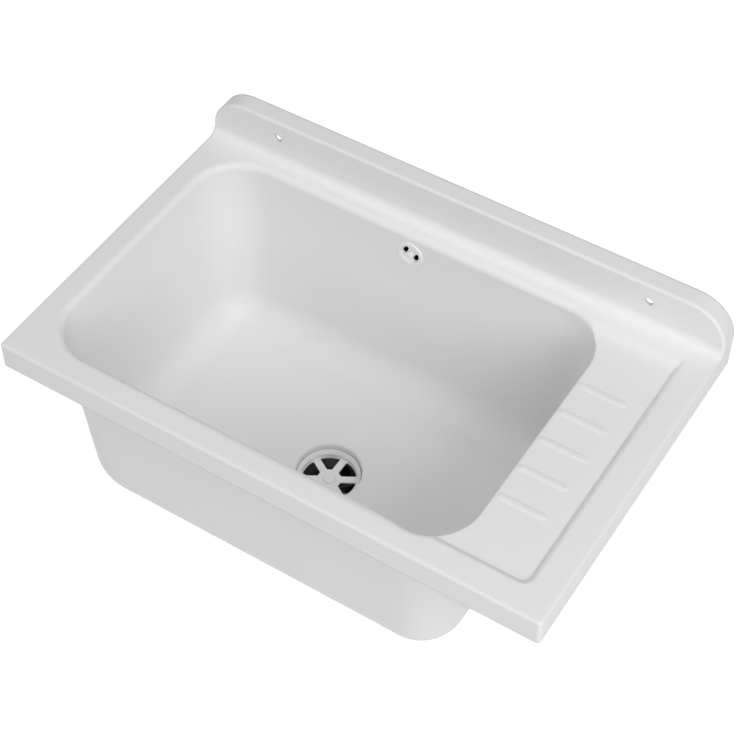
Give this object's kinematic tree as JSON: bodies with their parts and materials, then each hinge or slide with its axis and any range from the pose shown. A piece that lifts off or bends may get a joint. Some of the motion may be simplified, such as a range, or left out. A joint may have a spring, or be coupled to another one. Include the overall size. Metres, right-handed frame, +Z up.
{
  "type": "utility laundry sink",
  "caption": "Wall-hung utility laundry sink with a deep rectangular bowl, ribbed side drainboard, low upstand, grid waste and overflow.",
  "frame": {"origin": "on the wall plane at the middle of the sink's length, level with the deck's top: the back edge of the middle web", "axes": "+X to the right along the sink seen from the front, +Y back into the room's wall, +Z up"},
  "size_m": [0.61, 0.388, 0.3455],
  "materials": {
    "white_pp": "satin injection-moulded white polypropylene",
    "white_grille": "smooth white plastic of the strainer and the overflow rosette",
    "black_pp": "black moulded polypropylene of the waste body, elbow and nuts",
    "pipe_plastic": "grey corrugated overflow pipe",
    "grey_rubber": "dark grey sealing rubber",
    "stainless": "plain stainless steel screws",
    "brass": "turned brass thread inserts"
  },
  "bodies": {
    "sink": {"sink_basin": "white_pp", "strainer_gasket": "grey_rubber", "waste_gasket": "grey_rubber", "waste_body": "black_pp", "strainer_insert": "brass", "overflow_gasket": "grey_rubber", "overflow_elbow": "black_pp", "overflow_insert": "brass", "overflow_pipe": "pipe_plastic"},
    "strainer": {"strainer": "white_grille"},
    "strainer_screw": {"strainer_screw": "stainless"},
    "rosette": {"overflow_rosette": "white_grille"},
    "rosette_screw": {"overflow_screw": "stainless"},
    "upper_washer": {"upper_cone_washer": "grey_rubber"},
    "upper_nut": {"upper_union_nut": "black_pp"},
    "lower_washer": {"lower_cone_washer": "grey_rubber"},
    "lower_nut": {"lower_union_nut": "black_pp"}
  },
  "joints": [
    {"name": "strainer_lift", "type": "slide", "parent": "sink", "child": "strainer", "axis": [0, 0, 1], "range_m": [0, 0.014]},
    {"name": "strainer_screw_turn", "type": "hinge", "parent": "strainer", "child": "strainer_screw", "pos_m": [-0.039, -0.207, -0.2195], "axis": [0, 0, 1], "range_deg": [0, 5040]},
    {"name": "rosette_lift", "type": "slide", "parent": "sink", "child": "rosette", "axis": [0, -0.9986, 0.0523], "range_m": [0, 0.0088]},
    {"name": "rosette_screw_turn", "type": "hinge", "parent": "rosette", "child": "rosette_screw", "pos_m": [-0.039, -0.04536, -0.026], "axis": [0, -0.9986, 0.0523], "range_deg": [0, 3960]},
    {"name": "upper_union_travel", "type": "slide", "parent": "sink", "child": "upper_washer", "axis": [0, 0, -1], "range_m": [0, 0.012]},
    {"name": "upper_union_turn", "type": "hinge", "parent": "upper_washer", "child": "upper_nut", "pos_m": [-0.039, -0.0215, -0.064], "axis": [0, 0, -1], "range_deg": [0, 1440]},
    {"name": "lower_union_travel", "type": "slide", "parent": "sink", "child": "lower_washer", "axis": [0, 1, 0], "range_m": [0, 0.012]},
    {"name": "lower_union_turn", "type": "hinge", "parent": "lower_washer", "child": "lower_nut", "pos_m": [-0.039, -0.145, -0.255], "axis": [0, 1, 0], "range_deg": [0, 1440]}
  ],
  "couplings": [
    {"joint": "strainer_screw_turn", "follows": "strainer_lift", "rad_per_m": 6283.2},
    {"joint": "rosette_screw_turn", "follows": "rosette_lift", "rad_per_m": 7854},
    {"joint": "upper_union_turn", "follows": "upper_union_travel", "rad_per_m": 2094.4},
    {"joint": "lower_union_turn", "follows": "lower_union_travel", "rad_per_m": 2094.4}
  ]
}
